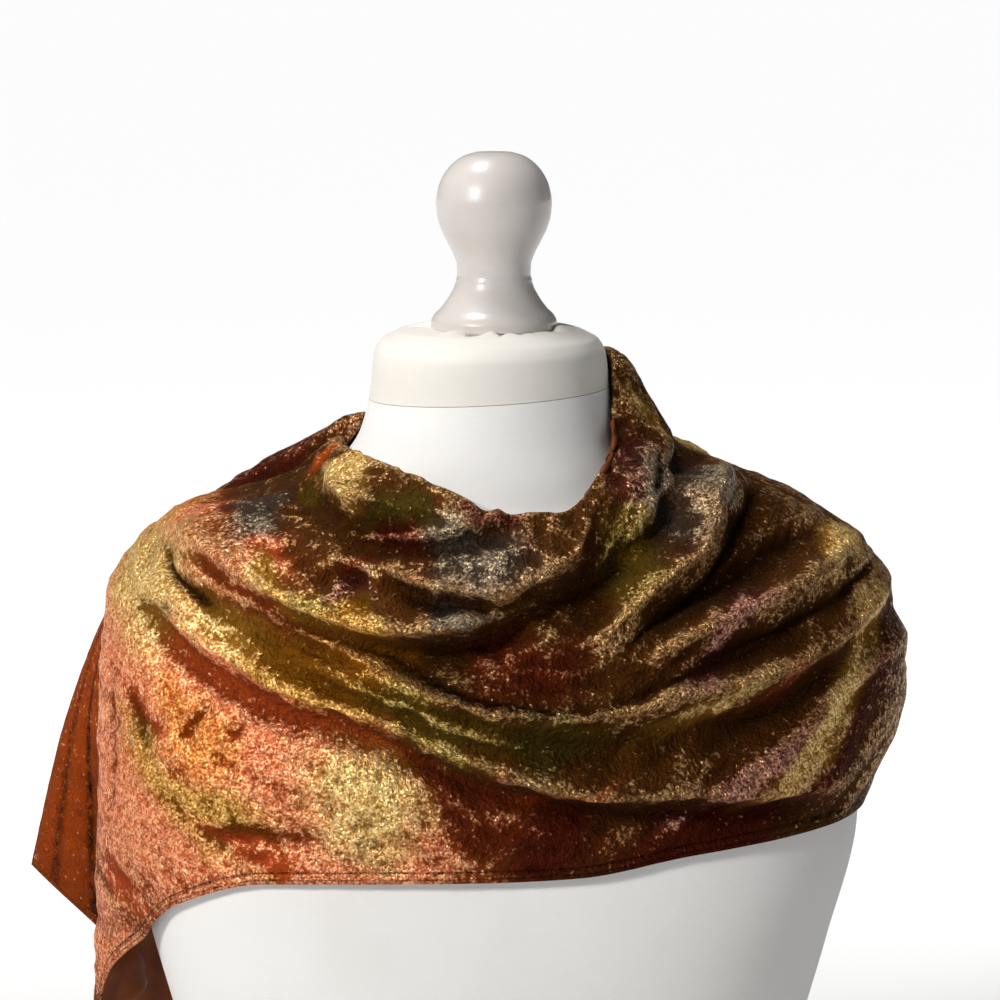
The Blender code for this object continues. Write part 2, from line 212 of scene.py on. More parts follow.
# %% [markdown]
# # Places on the form
# The form is measured by level sections: half its width, its depth to the front and back, and how square
# its corners are. A curve through the sections that never swings past its neighbours gives the radius at any
# height and any angle. The angle is 0 at the front, 90 at the picture's left shoulder and -90 at its right.

# %% Curves and the form's radius
MM = 0.001
CAP_SEAM_Z = 579.0
CAP_SEAM_TILT = 3.2 / 59.5
CAP_TOP_Z = 609.5
CAP_RIM_RADIUS = 46.0

FORM_SECTIONS = [
    # height, half_width, front, back, squareness
    (0, 165, 108, 116, 2.3),
    (70, 150, 100, 106, 2.2),
    (150, 131, 92, 92, 2.1),
    (210, 146, 100, 94, 2.2),
    (271, 162, 109, 99, 2.3),
    (306, 171, 114, 103, 2.4),
    (367, 185, 115, 108, 2.5),
    (440, 187, 103, 110, 2.3),
    (470, 184, 96, 107, 2.1),
    (490, 177, 89, 103, 1.9),
    (505, 163, 83, 98, 1.75),
    (514, 146, 79, 93, 1.7),
    (522, 122, 75, 87, 1.7),
    (530, 97, 70, 80, 1.8),
    (538, 83, 67, 74, 1.9),
    (548, 72, 64, 69, 2.0),
    (560, 64.5, 61, 64, 2.0),
    (580, 59.5, 58, 59, 2.0),
    (598, 57.5, 57, 57, 2.0),
    (605, 54.0, 53.5, 53.5, 2.0),
    (CAP_TOP_Z, CAP_RIM_RADIUS, CAP_RIM_RADIUS, CAP_RIM_RADIUS, 2.0),
]


def smooth_through(stations, values, at):
    """Values on a smooth curve through the stations that never swings past its neighbours."""
    x = np.asarray(stations, float)
    y = np.asarray(values, float)
    step = np.diff(x)
    slope = np.diff(y) / step
    tangent = np.zeros_like(y)
    tangent[0] = slope[0]
    tangent[-1] = slope[-1]
    before = slope[:-1]
    after = slope[1:]
    same_way = before * after > 0
    weight_a = 2 * step[1:] + step[:-1]
    weight_b = step[1:] + 2 * step[:-1]
    safe_before = np.where(same_way, before, 1.0)
    safe_after = np.where(same_way, after, 1.0)
    mean = (weight_a + weight_b) / (weight_a / safe_before + weight_b / safe_after)
    tangent[1:-1] = np.where(same_way, mean, 0.0)
    at = np.clip(np.asarray(at, float), x[0], x[-1])
    k = np.clip(np.searchsorted(x, at, side="right") - 1, 0, len(x) - 2)
    t = (at - x[k]) / step[k]
    rise = y[k + 1] - y[k]
    start = tangent[k] * step[k]
    end = tangent[k + 1] * step[k]
    return y[k] + t * (start + t * (3 * rise - 2 * start - end + t * (start + end - 2 * rise)))


def form_radius(angle, height):
    """How far the form's surface is from its axis, at a winding angle and a height."""
    table = np.array(FORM_SECTIONS, float)
    width, front, back, square = (
        smooth_through(table[:, 0], table[:, column], height) for column in range(1, 5)
    )
    turn = np.radians(angle)
    depth = np.where(np.cos(turn) > 0, front, back)
    across = np.abs(np.sin(turn)) / width
    along = np.abs(np.cos(turn)) / depth
    return (across**square + along**square) ** (-1 / square)


def place(angle, radius, height):
    """The point at a winding angle, a distance from the axis and a height, in metres."""
    turn = np.radians(angle)
    return np.stack([-radius * np.sin(turn), -radius * np.cos(turn), height + 0 * turn], -1) * MM


# %% [markdown]
# # Meshes from grids of points
# Every surface here is a grid: rings for the form, columns of points for the cloth. One function turns a
# grid into a mesh, closed round or open, and another makes it a piece that rides on the frame's one body.


# %% Grid meshes
def grid_mesh(name, points, closed=False):
    """A mesh from a grid of points; closed joins the last column to the first."""
    columns, rows = points.shape[:2]
    index = np.arange(columns * rows).reshape(columns, rows)
    after = np.roll(index, -1, axis=0)
    if not closed:
        index = index[:-1]
        after = after[:-1]
    faces = np.stack([index[:, :-1], after[:, :-1], after[:, 1:], index[:, 1:]], -1).reshape(-1, 4)
    mesh = bpy.data.meshes.new(name)
    mesh.from_pydata(points.reshape(-1, 3).tolist(), [], faces.tolist())
    mesh.shade_smooth()
    return mesh


def add_piece(name, mesh, finish, nodes):
    """A piece in the scene that takes the place of CAD nodes and rides with them."""
    piece = bpy.data.objects.new(name, mesh)
    bpy.context.scene.collection.objects.link(piece)
    mesh.materials.append(finish.material)
    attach(piece, "root")
    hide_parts(*nodes)
    return piece


def apply_modifiers(piece):
    """Bake a piece's modifiers into its mesh."""
    graph = bpy.context.evaluated_depsgraph_get()
    mesh = bpy.data.meshes.new_from_object(piece.evaluated_get(graph))
    piece.modifiers.clear()
    piece.data = mesh


# %% [markdown]
# # The jersey of the form
# The torso is covered in white stretch jersey and the neck cap in a creamier one, gathered under the finial.
# A fine rib in the bump and a faint change of tone are enough at this distance. The folds of the gathers are
# real shape, because they catch the light.


# %% Jersey finish
RIB_SCALE = 330.0
GRAIN_SCALE = 1400.0
LUMP_SCALE = 38.0
CLOUD_SCALE = 9.0


def jersey(name, colour, shade):
    """Stretch jersey: fine ribs, a soft uneven surface and slight changes of tone."""
    finish = Finish(name, Roughness=0.72, Sheen_Weight=0.25, Sheen_Roughness=0.5)
    cloudy = finish.noise(CLOUD_SCALE, 3.0)
    finish.feed("Base Color", finish.mix((*shade, 1.0), (*colour, 1.0), cloudy.between(0.3, 0.6)))
    threads = finish.node(
        "ShaderNodeTexWave",
        {"wave_type": "BANDS", "bands_direction": "Z"},
        {"Vector": finish.coordinates(), "Scale": RIB_SCALE, "Distortion": 0.6, "Detail": 2.0},
    )
    grain = finish.noise(GRAIN_SCALE)
    fine = finish.bump(threads * 0.5 + grain, 0.00012, 0.5)
    finish.feed("Normal", finish.bump(finish.noise(LUMP_SCALE, 3.0), 0.0012, 0.35, over=fine))
    return finish


white_jersey = jersey("white jersey", (0.86, 0.855, 0.845), (0.82, 0.81, 0.79))
cream_jersey = jersey("cream jersey", (0.79, 0.765, 0.715), (0.75, 0.72, 0.66))

# %% Torso
TORSO_AROUND = 160
TORSO_RINGS = 200
SEAM_GAP = 0.3
TILT_FROM_Z = 548.0
TILT_PASSES = 3
SHARP_EDGE = math.radians(50)


def ring_points(height, tilt, around):
    """One level ring of the form, or a ring that rises by tilt times x."""
    angles = -np.arange(around) * 360.0 / around
    level = np.full(around, float(height))
    for _ in range(TILT_PASSES):
        level = height + tilt * -form_radius(angles, level) * np.sin(np.radians(angles))
    return place(angles, form_radius(angles, level), level)


def closed_form(name, rings):
    """A closed mesh from rings, with its ends filled."""
    mesh = grid_mesh(name, np.stack(rings, axis=1), closed=True)
    build = bmesh.new()
    build.from_mesh(mesh)
    bmesh.ops.holes_fill(build, edges=build.edges)
    bmesh.ops.recalc_face_normals(build, faces=build.faces)
    build.to_mesh(mesh)
    build.free()
    mesh.shade_smooth()
    mesh.set_sharp_from_angle(angle=SHARP_EDGE)
    return mesh


torso_top = CAP_SEAM_Z - SEAM_GAP
torso_rings = []
for height in np.linspace(0, torso_top, TORSO_RINGS):
    rise = max(height - TILT_FROM_Z, 0) / (torso_top - TILT_FROM_Z)
    torso_rings.append(ring_points(height, CAP_SEAM_TILT * rise, TORSO_AROUND))
add_piece("torso", closed_form("torso", torso_rings), white_jersey, ["form_body"])
print("torso rings", len(torso_rings))

# %% Neck cap
CAP_AROUND = 288
CAP_RINGS = 60
CAP_TOP_RINGS = 16
FINIAL_X = 2.0
CAP_HOLE_RADIUS = 31.5
CAP_DOME = 1.2
GATHERS = 17
GATHER_DEPTH = 3.2
GATHER_SHIFTS = [
    # waves round the cap, shift, phase
    (3, 1.8, 1.0),
    (5, 1.35, 2.0),
    (11, 0.6, 0.0),
]


def gather_waves(angles):
    """The uneven gathers of the cap's cloth round the finial, from -1 to 1."""
    turn = np.radians(angles)
    shifted = GATHERS * turn
    for waves_round, shift, phase in GATHER_SHIFTS:
        shifted = shifted + shift * np.sin(turn * waves_round + phase)
    pleats = 1 - 2 * np.abs(np.sin(shifted / 2)) ** 0.7
    return -pleats * (0.65 + 0.35 * np.sin(turn * 4 + 0.5))


cap_heights = np.linspace(CAP_SEAM_Z, CAP_TOP_Z, CAP_RINGS)
cap_rings = [
    ring_points(height, CAP_SEAM_TILT * (1 - step / (CAP_RINGS - 1)), CAP_AROUND)
    for step, height in enumerate(cap_heights)
]
cap_angles = -np.arange(CAP_AROUND) * 360.0 / CAP_AROUND
waves = gather_waves(cap_angles)
for step in range(1, CAP_TOP_RINGS):
    inward = step / (CAP_TOP_RINGS - 1)
    radius = CAP_RIM_RADIUS + (CAP_HOLE_RADIUS - CAP_RIM_RADIUS) * inward
    depth = GATHER_DEPTH * inward**1.3 * math.sin(math.pi * (inward * 0.6 + 0.05))
    level = CAP_TOP_Z + CAP_DOME * math.sin(math.pi * inward) + depth * waves
    ring = place(cap_angles, np.full(CAP_AROUND, radius), level)
    ring[:, 0] += FINIAL_X * MM * inward
    cap_rings.append(ring)
cap_mesh = closed_form("neck_cap", cap_rings)
add_piece("neck_cap", cap_mesh, cream_jersey, ["form_neck_cap"])
print("gathers", GATHERS)

# %% [markdown]
# # The turned finial
# The finial is wood, turned on a lathe and painted, so it is made the way a lathe works: one outline spun
# round the axis. Gloss paint is a smooth coat with a faint unevenness in it, and its finish needs no more.

# %% Finial
FINIAL_PROFILE = [
    # radius, height above the cap
    (30.4, 0.0),
    (31.2, 1.2),
    (31.2, 4.0),
    (30.0, 6.8),
    (26.4, 10.6),
    (22.6, 15.8),
    (19.6, 21.6),
    (18.2, 27.4),
    (18.4, 32.0),
    (20.0, 37.2),
    (23.2, 43.6),
    (26.4, 50.4),
    (28.2, 57.2),
    (28.6, 63.0),
    (27.5, 69.8),
    (24.6, 76.6),
    (20.1, 82.0),
    (14.4, 85.8),
    (9.0, 87.4),
]
FINIAL_AROUND = 128
FINIAL_STEPS = 220
FINIAL_GAP = 0.3
RIDGE_Z = 25.0
RIDGE_HEIGHT = 0.25
RIDGE_WIDTH = 1.1
PAINT_SHADE = (0.60, 0.555, 0.53, 1.0)
PAINT = (0.64, 0.60, 0.575, 1.0)

gloss_paint = Finish("gloss paint", Roughness=0.35, Coat_Weight=0.3, Coat_Roughness=0.12)
paint_tone = gloss_paint.noise(14.0, 3.0).between(0.35, 0.65)
gloss_paint.feed("Base Color", gloss_paint.mix(PAINT_SHADE, PAINT, paint_tone))
gloss_paint.feed("Normal", gloss_paint.bump(gloss_paint.noise(110.0, 2.0), 0.0004, 0.25))

outline = np.array(FINIAL_PROFILE, float)
reach = np.concatenate([[0.0], np.cumsum(np.hypot(*np.diff(outline, axis=0).T))])
fine_reach = np.linspace(0, reach[-1], FINIAL_STEPS)
finial_radii = smooth_through(reach, outline[:, 0], fine_reach)
finial_heights = smooth_through(reach, outline[:, 1], fine_reach)
turned_ridge = RIDGE_HEIGHT * np.exp(-(((finial_heights - RIDGE_Z) / RIDGE_WIDTH) ** 2))
finial_angles = -np.arange(FINIAL_AROUND) * 360.0 / FINIAL_AROUND
finial_rings = []
for radius, height in zip(finial_radii + turned_ridge, finial_heights):
    ring = place(finial_angles, np.full(FINIAL_AROUND, radius), CAP_TOP_Z + FINIAL_GAP + height)
    ring[:, 0] += FINIAL_X * MM
    finial_rings.append(ring)
finial_mesh = closed_form("turned_finial", finial_rings)
add_piece("turned_finial", finial_mesh, gloss_paint, ["finial"])
print("finial rings", FINIAL_STEPS)

# %% [markdown]
# # The scarf's smooth base
# Before its folds, the wound scarf is a smooth surface. Each row of the table is one upright section from
# the neckline to the hem. The curve through the rows gives the cloth at every winding angle. Most rows stand
# off the body by a few millimetres, and those at the hanging corner by several centimetres.

# %% Cloth sections
TUCK_IN = 4.5
TUCK_DOWN = 7.0
TURN_FROM = 0.3
CLEAR = 2.0
CLEAR_PASSES = 4
SECTION_STEPS = 241

CLOTH_SECTIONS = [
    # angle, neck_r, neck_z, upper_r, upper_z, shoulder_r, shoulder_z,
    #     side_off, side_z, lower_off, lower_z, hem_off, hem_z, hem_turn
    (-270, 84, 541.5, 104, 531.5, 154, 514, 4, 474, 5, 400, 68, 216, 20),
    (-260, 82, 542, 104, 532, 154, 514, 5, 474, 8, 400, 60, 222, 13),
    (-252, 66, 566, 112, 541, 152, 517, 6, 474, 10, 400, 54, 226, 11),
    (-240, 68, 564, 96, 553, 136, 529, 9, 470, 12, 400, 40, 246, 4),
    (-210, 69, 573, 84, 559, 114, 526, 11, 462, 11, 405, 22, 300, 0),
    (-180, 68, 583, 80, 562, 104, 522, 12, 462, 10, 410, 11, 334, 0),
    (-150, 67, 593, 84, 563, 114, 522, 12, 462, 11, 410, 9, 348, 0),
    (-120, 64, 598, 94, 556, 150, 522, 18, 472, 18, 425, 8, 362, 0),
    (-100, 61.5, 599, 100, 548, 176, 513, 23, 478, 22, 430, 5, 373, 0),
    (-90, 61.5, 593, 99, 548, 176, 512, 21, 476, 22, 430, 3.5, 375, 0),
    (-80, 62, 584, 95, 548, 158, 512, 16, 472, 18, 425, 3.5, 377, 0),
    (-65, 66, 567, 92, 545, 132, 507, 12, 465, 13, 415, 4, 375.5, 0),
    (-42, 78, 552, 94, 535, 114, 500, 14, 462, 13, 412, 5, 371, 0),
    (-20, 88, 530, 100, 512, 110, 485, 15, 450, 13, 406, 6, 362.5, 0),
    (0, 88, 532, 99, 512, 108, 484, 15, 450, 12, 405, 6, 360.5, 0),
    (10, 87, 539.5, 97, 518, 108, 487, 14, 451, 11, 405, 6, 360, 0),
    (20, 84.5, 545, 96, 524, 108, 490, 13, 452, 10, 404, 6, 359.5, 0),
    (45, 79.5, 554, 95, 535, 118, 502, 9, 458, 8, 402, 6, 356, 0),
    (62, 77, 555, 96, 536, 136, 511, 9, 462, 9, 396, 6, 338, 0),
    (72, 76.5, 555, 98, 537, 150, 515, 10, 468, 10, 388, 8, 316, 0),
    (82, 76, 555, 100, 537, 160, 517, 10, 472, 12, 378, 29, 286, 1),
    (88, 76, 555, 101, 537, 161, 518, 10, 474, 12, 380, 47, 250, 1),
    (93, 76, 555, 101, 537, 161, 518, 8.5, 474, 10, 385, 22, 264, 6),
    (96, 76, 555, 101, 537, 160, 518, 9, 474, 22, 395, 42, 281, 8),
    (99, 76, 555, 101, 537, 158, 518, 15, 472, 42, 405, 86, 314, 9),
]


def cloth_meridian(angle):
    """One line from neckline to hem on the unfolded cloth: shares, angles, radii, heights and its length."""
    table = np.array(CLOTH_SECTIONS, float)
    row = [smooth_through(table[:, 0], table[:, column], angle) for column in range(1, 14)]
    neck_r, neck_z, upper_r, upper_z, shoulder_r, shoulder_z = row[:6]
    side_off, side_z, lower_off, lower_z, hem_off, hem_z, hem_turn = row[6:]
    radii = [neck_r - TUCK_IN, neck_r, upper_r, shoulder_r]
    heights = [neck_z - TUCK_DOWN, neck_z, upper_z, shoulder_z]
    for off, height in ((side_off, side_z), (lower_off, lower_z), (hem_off, hem_z)):
        radii.append(float(form_radius(angle, height)) + off)
        heights.append(height)
    chord = np.hypot(np.diff(radii), np.diff(heights))
    knots = np.concatenate([[0.0], np.cumsum(chord)])
    fine = np.linspace(0, knots[-1], SECTION_STEPS)
    r = smooth_through(knots, radii, fine)
    z = smooth_through(knots, heights, fine)
    r = np.maximum(r, form_radius(angle, z - CLEAR) + CLEAR)
    length = np.concatenate([[0.0], np.cumsum(np.hypot(np.diff(r), np.diff(z)))])
    share = length / length[-1]
    turn = angle + hem_turn * np.clip((share - TURN_FROM) / (1 - TURN_FROM), 0, 1)
    return share, turn, r, z, length[-1]


def cloth_base(angles, shares):
    """The unfolded cloth over a grid: angle, radius and height arrays, and each column's length."""
    turn = np.zeros((len(angles), len(shares)))
    radius = np.zeros_like(turn)
    height = np.zeros_like(turn)
    length = np.zeros(len(angles))
    for i, angle in enumerate(angles):
        share, t, r, z, length[i] = cloth_meridian(angle)
        turn[i] = np.interp(shares, share, t)
        radius[i] = np.interp(shares, share, r)
        height[i] = np.interp(shares, share, z)
    return turn, radius, height, length


def spaced(count, spacing):
    """A number of winding angles, spaced as a table says."""
    table = np.array(spacing, float)
    return smooth_through(table[:, 0], table[:, 1], np.linspace(0, 1, count))


# %% [markdown]
# # Folds
# A fold is a ridge along a route of winding angles and shares. Its height fades out at both ends, its hem
# side is steeper than its neckline side, and a shallow trough runs under it, as where cloth piles up and
# slides. A crease is the same thing upside down, with a sharp bottom.

# %% Fold table
FOLDS = [
    # name, spread to the neckline, spread to the hem, lean, ((angle, share, height), ...)
    ("neck roll", 11, 8, 0.2, (
        (72, 0.07, 1), (62, 0.09, 4), (54, 0.12, 8), (45, 0.15, 10), (30, 0.14, 9), (15, 0.11, 6),
        (0, 0.08, 2),
    )),
    ("collar band", 5, 4, 0.2, (
        (46, 0.23, 1), (38, 0.225, 4), (26, 0.2, 5), (17, 0.17, 5), (8, 0.12, 5), (-2, 0.06, 4),
        (-8, 0.02, 2),
    )),
    ("lens", 20, 4, 0.3, (
        (32, 0.27, 2), (25, 0.28, 6), (15, 0.288, 9), (5, 0.268, 9), (-4, 0.245, 8), (-12, 0.2, 5),
    )),
    ("cowl", 18, 8, 0.3, (
        (82, 0.29, 4), (75, 0.315, 8), (64, 0.35, 12), (52, 0.39, 15), (40, 0.42, 17),
        (30, 0.425, 18), (20, 0.415, 19), (10, 0.385, 19), (0, 0.32, 17), (-9, 0.26, 15),
        (-16, 0.21, 12), (-24, 0.17, 9), (-32, 0.135, 6),
    )),
    ("cowl edge", 9, 14, -0.1, (
        (5, 0.37, 2), (-8, 0.31, 4), (-17, 0.23, 4), (-24, 0.16, 4), (-33, 0.1, 3), (-48, 0.07, 2),
    )),
    ("collar panel", 13, 20, 0.0, (
        (-88, 0.15, 2), (-76, 0.18, 7), (-64, 0.205, 10), (-54, 0.225, 10), (-44, 0.25, 8),
        (-34, 0.28, 4),
    )),
    ("neck fold", 24, 8, 0.35, (
        (-112, 0.27, 1), (-92, 0.28, 5), (-76, 0.285, 14), (-66, 0.29, 17), (-60, 0.33, 17),
        (-52, 0.36, 16), (-40, 0.375, 13), (-30, 0.39, 9), (-18, 0.425, 4),
    )),
    ("shoulder fold", 13, 8, 0.3, (
        (-108, 0.51, 1), (-92, 0.53, 2), (-80, 0.53, 7), (-66, 0.525, 12), (-53, 0.515, 12),
        (-40, 0.52, 10), (-30, 0.51, 5),
    )),
    ("long fold", 8, 12, 0.25, (
        (80, 0.35, 5), (68, 0.385, 9), (60, 0.41, 11), (43, 0.465, 13), (29, 0.5, 13),
        (16, 0.53, 13), (0, 0.555, 13), (-16, 0.57, 12), (-27, 0.59, 12), (-39, 0.625, 12),
        (-50, 0.65, 12), (-62, 0.66, 12), (-78, 0.64, 8), (-92, 0.62, 3), (-108, 0.61, 2),
    )),
    ("thin fold", 4, 5, 0.3, (
        (46, 0.49, 2), (38, 0.515, 4), (28, 0.545, 4.5), (18, 0.57, 4), (10, 0.6, 4),
        (0, 0.63, 3.5), (-14, 0.665, 2),
    )),
    ("front fold", 14, 7, 0.35, (
        (80, 0.39, 1), (75, 0.42, 5), (69, 0.455, 10), (64, 0.495, 12), (54, 0.55, 12),
        (43, 0.6, 12), (29, 0.625, 12), (15, 0.665, 12), (0, 0.715, 12), (-16, 0.77, 12),
        (-36, 0.835, 10), (-52, 0.885, 8), (-72, 0.92, 4),
    )),
    ("side fold", 12, 9, 0.2, (
        (-106, 0.71, 2), (-92, 0.72, 4), (-80, 0.72, 8), (-68, 0.745, 9), (-56, 0.8, 8),
        (-45, 0.85, 4),
    )),
    ("arm fold", 12, 12, 0.0, (
        (-107, 0.5, 4), (-105, 0.66, 8), (-102, 0.82, 6),
    )),
    ("pocket rim", 4, 4, 0.2, (
        (45, 0.35, 2), (43, 0.315, 4), (39, 0.285, 5), (34, 0.285, 5), (29, 0.3, 4), (24, 0.32, 2),
    )),
    ("upper back fold", 20, 10, 0.3, (
        (-118, 0.39, 9), (-145, 0.31, 14), (-170, 0.32, 15), (-200, 0.37, 14), (-238, 0.34, 9),
    )),
    ("middle back fold", 18, 9, 0.3, (
        (-120, 0.64, 8), (-145, 0.56, 13), (-175, 0.52, 14), (-210, 0.56, 12), (-240, 0.5, 8),
    )),
    ("short back fold", 9, 7, 0.3, (
        (-150, 0.43, 5), (-168, 0.42, 9), (-186, 0.43, 8), (-200, 0.46, 4),
    )),
    ("lower back fold", 16, 9, 0.3, (
        (-122, 0.86, 6), (-150, 0.77, 11), (-182, 0.71, 11), (-215, 0.75, 7),
    )),
    ("end fold", 11, 11, 0.0, (
        (-246, 0.52, 8), (-243, 0.74, 8), (-240, 1.0, 8),
    )),
    ("inner end fold", 10, 10, 0.0, (
        (-226, 0.66, 6), (-224, 0.82, 6), (-223, 1.0, 6),
    )),
]

CREASES = [
    # name, width, ((angle, share, depth), ...)
    ("slit", 2.5, (
        (80, 0.325, 3), (74, 0.365, 10), (66, 0.41, 10), (56, 0.455, 3),
    )),
    ("second slit", 2.5, (
        (75, 0.405, 3), (70, 0.435, 8), (62, 0.475, 3),
    )),
    ("under the cowl", 3, (
        (62, 0.4, 2), (43, 0.445, 5), (33, 0.465, 5), (23, 0.48, 6), (11, 0.51, 6), (-2, 0.53, 6),
        (-12, 0.545, 6), (-27, 0.565, 5), (-43, 0.585, 5), (-57, 0.59, 4), (-68, 0.565, 2),
    )),
    ("under the long fold", 3, (
        (50, 0.47, 1), (40, 0.5, 2.5), (26, 0.535, 3), (10, 0.575, 3), (-6, 0.6, 2),
    )),
    ("beside the neck fold", 5, (
        (-90, 0.34, 3), (-76, 0.345, 6), (-66, 0.355, 7), (-58, 0.39, 7), (-50, 0.425, 6),
        (-38, 0.44, 4), (-26, 0.455, 2),
    )),
    ("under the shoulder fold", 3, (
        (-92, 0.575, 2), (-80, 0.575, 4), (-66, 0.57, 5), (-53, 0.565, 4), (-40, 0.56, 2),
    )),
    ("end of the neck roll", 3, (
        (40, 0.18, 2), (38, 0.23, 5), (38, 0.28, 3),
    )),
    ("pocket", 6, (
        (40, 0.32, 5), (34, 0.315, 7), (29, 0.325, 4),
    )),
    ("edge wrinkle", 4, (
        (79, 0.5, 1), (77, 0.6, 3), (74, 0.7, 3), (75, 0.82, 2),
    )),
    ("first panel wrinkle", 5, (
        (76, 0.55, 1), (72, 0.6, 5), (67, 0.68, 4), (62, 0.75, 2),
    )),
    ("second panel wrinkle", 4, (
        (53, 0.58, 1), (57, 0.62, 4), (60, 0.68, 4), (63, 0.72, 2),
    )),
    ("third panel wrinkle", 4, (
        (49, 0.6, 1), (50, 0.65, 4), (53, 0.7, 3), (55, 0.76, 1),
    )),
    ("low panel wrinkle", 5, (
        (60, 0.86, 1), (50, 0.885, 4), (40, 0.9, 4), (30, 0.91, 1),
    )),
    ("under the lens", 4, (
        (26, 0.305, 3), (15, 0.325, 5), (5, 0.3, 5), (-4, 0.272, 4), (-10, 0.245, 2),
    )),
]

# %% Fold shapes
FOLD_FADE = 26.0
ROUTE_RADIUS = 140.0
ROUTE_LENGTH = 260.0
ROUTE_STEPS = 60
TROUGH = 0.55
TROUGH_OUT = 2.0
CREST_SHARE = 0.3
CREST_WIDTH = 0.27
# The crest line and the band under an overhang later take painted highlight and painted shade.
CREST_LINE = 2.2
CREST_LINE_FULL = 9.0
OVERHANG_FULL = 14.0
OVERHANG_OUT = 1.0
OVERHANG_WIDTH = 0.6


def fold_route(route):
    """A fold's route as many angles, shares and heights on a smooth curve through its points."""
    points = np.array(route, float)
    steps = np.hypot(np.radians(np.diff(points[:, 0])) * ROUTE_RADIUS, np.diff(points[:, 1]) * ROUTE_LENGTH)
    knots = np.concatenate([[0.0], np.cumsum(steps)])
    fine = np.linspace(0, knots[-1], ROUTE_STEPS)
    return [smooth_through(knots, points[:, column], fine) for column in range(3)]


def near_route(angles, shares, radius, length, route, lean=0.0):
    """Each grid point's distance from a route, whether it is on the hem's side, and the height there."""
    route_angle, route_share, route_height = fold_route(route)
    across = np.radians(route_angle - angles[:, None, None]) * radius[:, :, None]
    down = (route_share - shares[None, :, None]) * length[:, None, None] - lean * route_height
    step_across = np.diff(across, axis=-1)
    step_down = np.diff(down, axis=-1)
    across = across[:, :, :-1]
    down = down[:, :, :-1]
    along = -(across * step_across + down * step_down) / (step_across**2 + step_down**2)
    along = np.clip(along, 0, 1)
    across = across + along * step_across
    down = down + along * step_down
    gap = np.hypot(across, down)
    toward_hem = step_across * down - step_down * across > 0
    nearest = gap.argmin(-1)[:, :, None]
    gap, along, toward_hem = (
        np.take_along_axis(values, nearest, -1)[:, :, 0] for values in (gap, along, toward_hem)
    )
    nearest = nearest[:, :, 0]
    route_across = np.radians(np.diff(route_angle)) * ROUTE_RADIUS
    route_steps = np.hypot(route_across, np.diff(route_share) * ROUTE_LENGTH)
    travelled = np.concatenate([[0.0], np.cumsum(route_steps)])
    position = travelled[nearest] + along * route_steps[nearest]
    height = route_height[nearest] + along * (route_height[nearest + 1] - route_height[nearest])
    reach = np.clip(np.minimum(position, travelled[-1] - position) / FOLD_FADE, 0, 1)
    return gap, toward_hem, height * reach * reach * (3 - 2 * reach)


def ridge_lift(angles, shares, radius, length, above, below, lean, route):
    """How far one fold raises each point, how near the crest the point is, and how far it is under it."""
    gap, toward_hem, height = near_route(angles, shares, radius, length, route, lean)
    spread = gap / np.where(toward_hem, below, above)
    crest = np.exp(-((spread / CREST_WIDTH) ** 2))
    ridge = (1 - CREST_SHARE) * np.exp(-(spread**2)) + CREST_SHARE * crest
    trough = TROUGH * toward_hem * np.exp(-((spread - TROUGH_OUT) ** 2))
    line = np.exp(-((gap / CREST_LINE) ** 2)) * np.clip(height / CREST_LINE_FULL, 0, 1)
    under = toward_hem * np.exp(-(((spread - OVERHANG_OUT) / OVERHANG_WIDTH) ** 2))
    under = under * np.clip(height / OVERHANG_FULL, 0, 1)
    return height * (ridge - trough), line, under


def crease_lift(angles, shares, radius, length, width, route):
    """How far one crease sinks each point, as a height below zero."""
    gap, _, depth = near_route(angles, shares, radius, length, route)
    return -depth * np.exp(-gap / width)


# %% Scarf surface
SCARF_COLUMNS = 330
SCARF_ROWS = 140
SCARF_SPACING = [(0, 99.0), (0.14, 80), (0.72, -95), (0.93, -238), (1, -270.0)]
ROW_CROWDING = 0.25
RELAX_PASSES = 1
SEED_STEP = 7.3


def row_shares(rows):
    """Shares of the way from neckline to hem, closer together at the rolled neckline."""
    step = np.linspace(0, 1, rows)
    return step * (1 - ROW_CROWDING + ROW_CROWDING * step)


def clear_of_form(points):
    """The points, with any that come too near the form moved straight out of it along its own slope."""
    x, y, z = np.moveaxis(points / MM, -1, 0)
    angle = np.degrees(np.arctan2(-x, -y))
    radius = np.hypot(x, y)
    for _ in range(CLEAR_PASSES):
        slope = (form_radius(angle, z + 1) - form_radius(angle, z - 1)) / 2
        steepness = np.sqrt(1 + slope**2)
        short = np.maximum(form_radius(angle, z) + CLEAR * steepness - radius, 0)
        radius = radius + short / steepness**2
        z = z - short * slope / steepness**2
    return place(angle, radius, z)


def relaxed(points):
    """The points of a grid, each inner one eased towards its neighbours."""
    eased = points.copy()
    around = points[:-2, 1:-1] + points[2:, 1:-1] + points[1:-1, :-2] + points[1:-1, 2:]
    eased[1:-1, 1:-1] = 0.5 * points[1:-1, 1:-1] + 0.125 * around
    return eased


def unit(vectors):
    return vectors / np.linalg.norm(vectors, axis=-1, keepdims=True)


def surface_normals(points):
    """Outward directions at the points of the scarf's grid."""
    return unit(np.cross(np.gradient(points, axis=1), np.gradient(points, axis=0)))


def slow_noise(points, sizes, seed):
    """Smooth noise from about -1 to 1 on the cloth, with features of the given sizes along and across."""
    flat = points.reshape(-1, 2) / np.array(sizes, float)
    values = [noise.noise(Vector((x, y, seed * SEED_STEP))) for x, y in flat]
    return np.array(values).reshape(points.shape[:-1])


